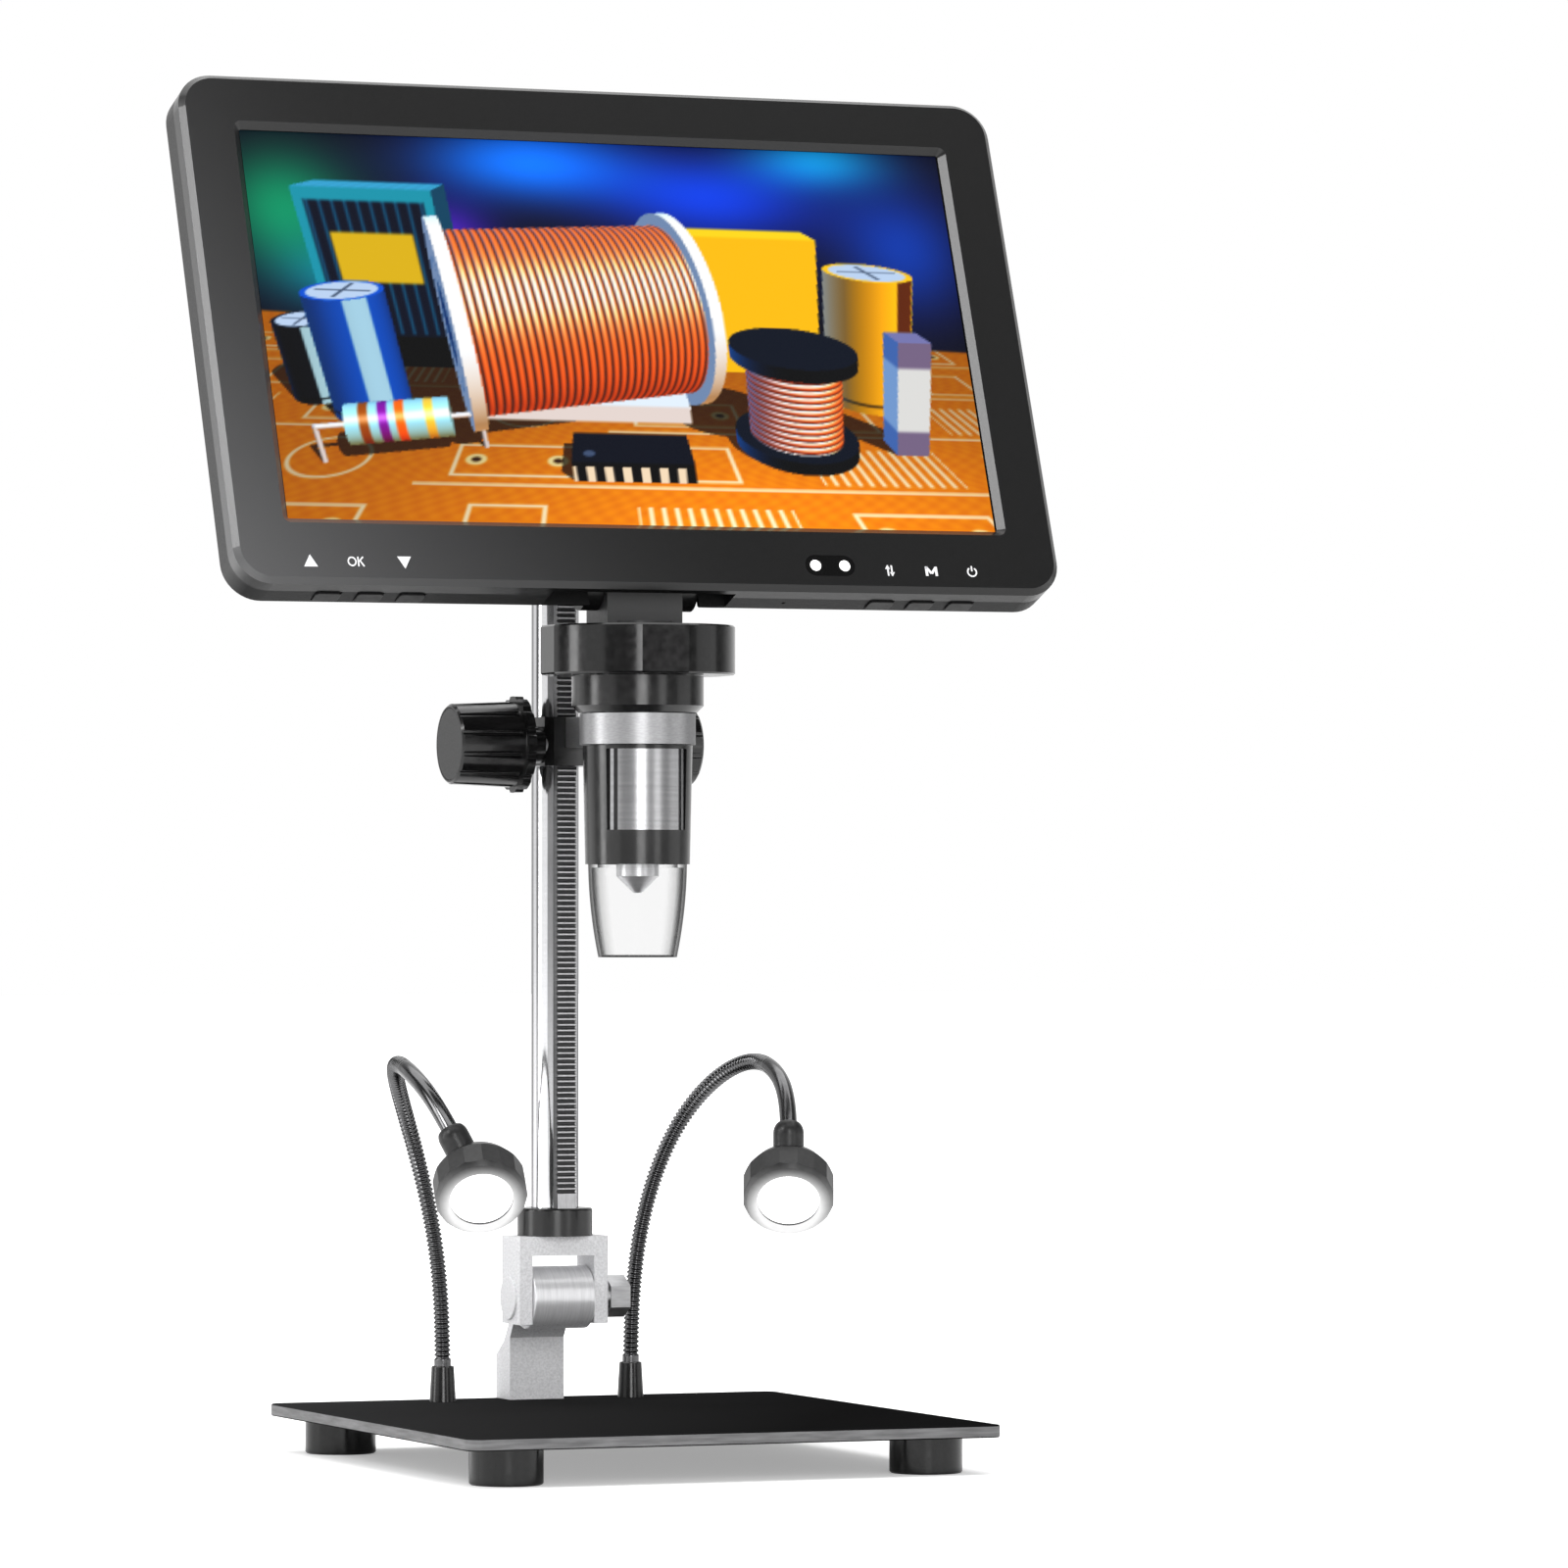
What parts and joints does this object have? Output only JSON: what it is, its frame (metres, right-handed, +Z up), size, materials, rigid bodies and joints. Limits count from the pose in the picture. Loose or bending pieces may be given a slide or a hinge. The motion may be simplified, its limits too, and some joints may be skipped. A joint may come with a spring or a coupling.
{
  "type": "lcd digital microscope",
  "caption": "Digital microscope with a tilting flat screen over a focusing barrel, carried on a rack column above a flat base with flexible side lamps.",
  "frame": {"origin": "on the table under the middle of the base plate, between the feet", "axes": "+Z up, +X to the user's right when facing the screen, +Y to the back, away from the user"},
  "size_m": [0.2596, 0.1786, 0.4093],
  "materials": {
    "black_plate": "satin black anodised plate",
    "rubber": "matte",
    "steel_screw": "plain",
    "cast_silver": "sandblasted",
    "chrome": "polished",
    "rack_steel": "milled",
    "black_metal": "satin black",
    "ring_aluminium": "brushed",
    "black_plastic": "moulded",
    "screen_plastic": "satin",
    "cap_grey": "flat",
    "panel_metal": "polished",
    "clear": "clear",
    "board_green": "circuit board",
    "lens_glass": "polished",
    "nose_metal": "turned",
    "glass_front": "clear",
    "lcd": "lit display",
    "battery_wrap": "film",
    "ir_dark": "gloss",
    "neck_black": "ribbed sleeve",
    "lamp_shell": "satin",
    "lamp_lens": "lit"
  },
  "bodies": {
    "base": {"base_plate": "black_plate", "rubber_feet": "rubber", "foot_screws": "steel_screw", "hinge_bracket": "cast_silver", "bracket_screws": "steel_screw", "left_lamp_ferrule": "black_metal", "right_lamp_ferrule": "black_metal"},
    "column": {"clevis": "cast_silver", "pivot_bolt": "cast_silver", "pivot_washer": "steel_screw", "pivot_nut": "steel_screw", "post_collar": "black_metal", "column_post": "chrome", "gear_rack": "rack_steel"},
    "carriage": {"carriage_block": "black_metal", "clamp_ring": "ring_aluminium", "clamp_screw": "steel_screw"},
    "pinion": {"pinion_shaft": "steel_screw", "left_knob": "black_plastic", "right_knob": "black_plastic", "left_knob_cap": "cap_grey", "right_knob_cap": "cap_grey"},
    "head": {"head_core": "black_metal", "barrel_collar": "black_metal", "barrel_shell": "black_metal", "barrel_panel": "panel_metal", "panel_strips": "panel_metal", "light_shield": "clear", "led_ring_board": "board_green", "sensor_board": "board_green", "neck_block": "black_plastic", "tilt_pin": "steel_screw"},
    "lens": {"lens_carrier": "black_metal", "lens_cone": "nose_metal", "objective_lens": "lens_glass"},
    "wheel": {"focus_wheel": "black_plastic"},
    "screen": {"front_frame": "screen_plastic", "rear_cover": "black_plastic", "cover_glass": "glass_front", "lcd_panel": "lcd", "main_board": "board_green", "battery": "battery_wrap", "rear_screws": "steel_screw", "ir_window": "ir_dark", "button_boards": "board_green"},
    "left_neck": {"left_gooseneck": "neck_black"},
    "right_neck": {"right_gooseneck": "neck_black"},
    "left_lamp": {"left_lamp_head": "lamp_shell", "left_lamp_led_board": "board_green", "left_lamp_lens": "lamp_lens"},
    "right_lamp": {"right_lamp_head": "lamp_shell", "right_lamp_led_board": "board_green", "right_lamp_lens": "lamp_lens"},
    "up_button": {"button_up": "black_plastic"},
    "ok_button": {"button_ok": "black_plastic"},
    "down_button": {"button_down": "black_plastic"},
    "swap_button": {"button_swap": "black_plastic"},
    "menu_button": {"button_menu": "black_plastic"},
    "power_button": {"button_power": "black_plastic"}
  },
  "joints": [
    {"name": "column_tilt", "type": "hinge", "parent": "base", "child": "column", "pos_m": [0, 0.06156, 0.0461], "axis": [1, 0, 0], "range_deg": [-10, 15]},
    {"name": "carriage_slide", "type": "slide", "parent": "column", "child": "carriage", "axis": [0, 0, 1], "range_m": [-0.06, 0.04]},
    {"name": "knob_turn", "type": "hinge", "parent": "carriage", "child": "pinion", "pos_m": [0, 0.04845, 0.21305], "axis": [1, 0, 0], "range_deg": [-710, 1062]},
    {"name": "head_swivel", "type": "hinge", "parent": "carriage", "child": "head", "pos_m": [0, -0.00768, 0.2166], "axis": [0, 0, 1], "range_deg": [-20, 20]},
    {"name": "wheel_turn", "type": "hinge", "parent": "head", "child": "wheel", "pos_m": [0, -0.00768, 0.24], "axis": [0, 0, 1], "range_deg": [-200, 200]},
    {"name": "lens_slide", "type": "slide", "parent": "head", "child": "lens", "axis": [0, 0, 1], "range_m": [-0.006, 0.006]},
    {"name": "screen_tilt", "type": "hinge", "parent": "head", "child": "screen", "pos_m": [0, -0.005, 0.258], "axis": [1, 0, 0], "range_deg": [-8, 21.25]},
    {"name": "up_press", "type": "slide", "parent": "screen", "child": "up_button", "axis": [0, 0.3624, 0.932], "range_m": [0, 0.0005], "stiffness_N_per_m": 400, "springref_m": -0.0005},
    {"name": "ok_press", "type": "slide", "parent": "screen", "child": "ok_button", "axis": [0, 0.3624, 0.932], "range_m": [0, 0.0005], "stiffness_N_per_m": 400, "springref_m": -0.0005},
    {"name": "down_press", "type": "slide", "parent": "screen", "child": "down_button", "axis": [0, 0.3624, 0.932], "range_m": [0, 0.0005], "stiffness_N_per_m": 400, "springref_m": -0.0005},
    {"name": "swap_press", "type": "slide", "parent": "screen", "child": "swap_button", "axis": [0, 0.3624, 0.932], "range_m": [0, 0.0005], "stiffness_N_per_m": 400, "springref_m": -0.0005},
    {"name": "menu_press", "type": "slide", "parent": "screen", "child": "menu_button", "axis": [0, 0.3624, 0.932], "range_m": [0, 0.0005], "stiffness_N_per_m": 400, "springref_m": -0.0005},
    {"name": "power_press", "type": "slide", "parent": "screen", "child": "power_button", "axis": [0, 0.3624, 0.932], "range_m": [0, 0.0005], "stiffness_N_per_m": 400, "springref_m": -0.0005},
    {"name": "left_neck_swing", "type": "hinge", "parent": "base", "child": "left_neck", "pos_m": [-0.0305, 0.077, 0.02], "axis": [0, 0, -1], "range_deg": [-20, 10]},
    {"name": "left_lamp_nod", "type": "hinge", "parent": "left_neck", "child": "left_lamp", "pos_m": [-0.05312, 0.00454, 0.0966], "axis": [1, 0, 0], "range_deg": [-15, 15]},
    {"name": "right_neck_swing", "type": "hinge", "parent": "base", "child": "right_neck", "pos_m": [0.0305, 0.077, 0.02], "axis": [0, 0, 1], "range_deg": [-20, 10]},
    {"name": "right_lamp_nod", "type": "hinge", "parent": "right_neck", "child": "right_lamp", "pos_m": [0.05312, 0.00454, 0.0966], "axis": [1, 0, 0], "range_deg": [-15, 15]}
  ],
  "couplings": [
    {"joint": "knob_turn", "follows": "carriage_slide", "rad_per_m": -307.1},
    {"joint": "wheel_turn", "follows": "lens_slide", "rad_per_m": 581.77}
  ]
}
